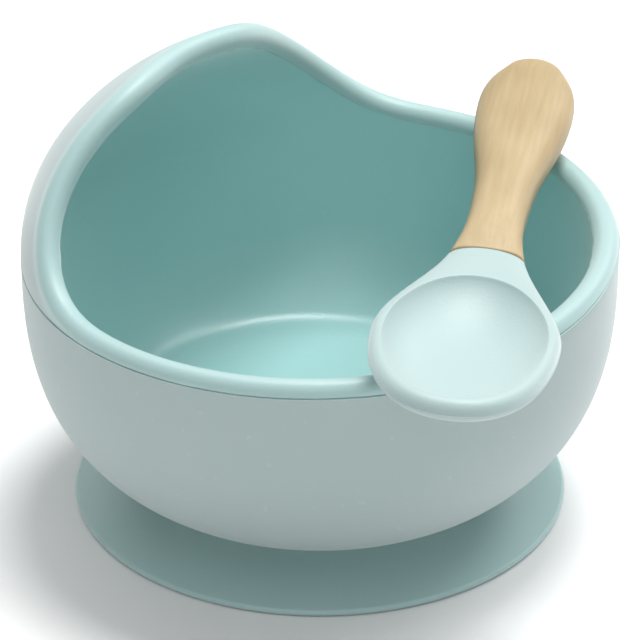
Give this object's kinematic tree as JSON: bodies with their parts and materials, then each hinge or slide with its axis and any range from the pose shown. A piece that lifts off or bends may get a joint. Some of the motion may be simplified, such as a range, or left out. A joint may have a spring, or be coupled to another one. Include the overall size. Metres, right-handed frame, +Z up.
{
  "type": "suction bowl",
  "caption": "Round silicone baby bowl with a raised scoop hood on a suction base, with a matching wooden-handled spoon resting across its rim.",
  "frame": {"origin": "centre of the suction ring, on the plane that it rests on", "axes": "+Z up out of the bowl, -Y towards the low front of the rim that a viewer faces, +X to the side that the spoon lies on; the hood stands at 142 degrees from +X towards +Y"},
  "size_m": [0.1177, 0.1408, 0.0883],
  "materials": {
    "base_silicone": "soft satin silicone",
    "bowl_silicone": "powder-matt outside, satin inside",
    "spoon_silicone": "soft satin silicone",
    "beech_wood": "fine-sanded, oiled"
  },
  "bodies": {
    "suction_body": {"suction_base": "base_silicone"},
    "bowl_body": {"bowl_shell": "bowl_silicone"},
    "spoon_body": {"spoon_head": "spoon_silicone", "spoon_handle": "beech_wood"}
  },
  "joints": [
    {"name": "bowl_press", "type": "slide", "parent": "suction_body", "child": "bowl_body", "axis": [0, 0, -1], "range_m": [0, 0.003], "stiffness_N_per_m": 6000, "springref_m": -0.0005, "deforming": ["suction_base"]},
    {"name": "spoon_lift", "type": "slide", "parent": "bowl_body", "child": "spoon_body", "axis": [0, 0, 1], "range_m": [0, 0.09]}
  ]
}
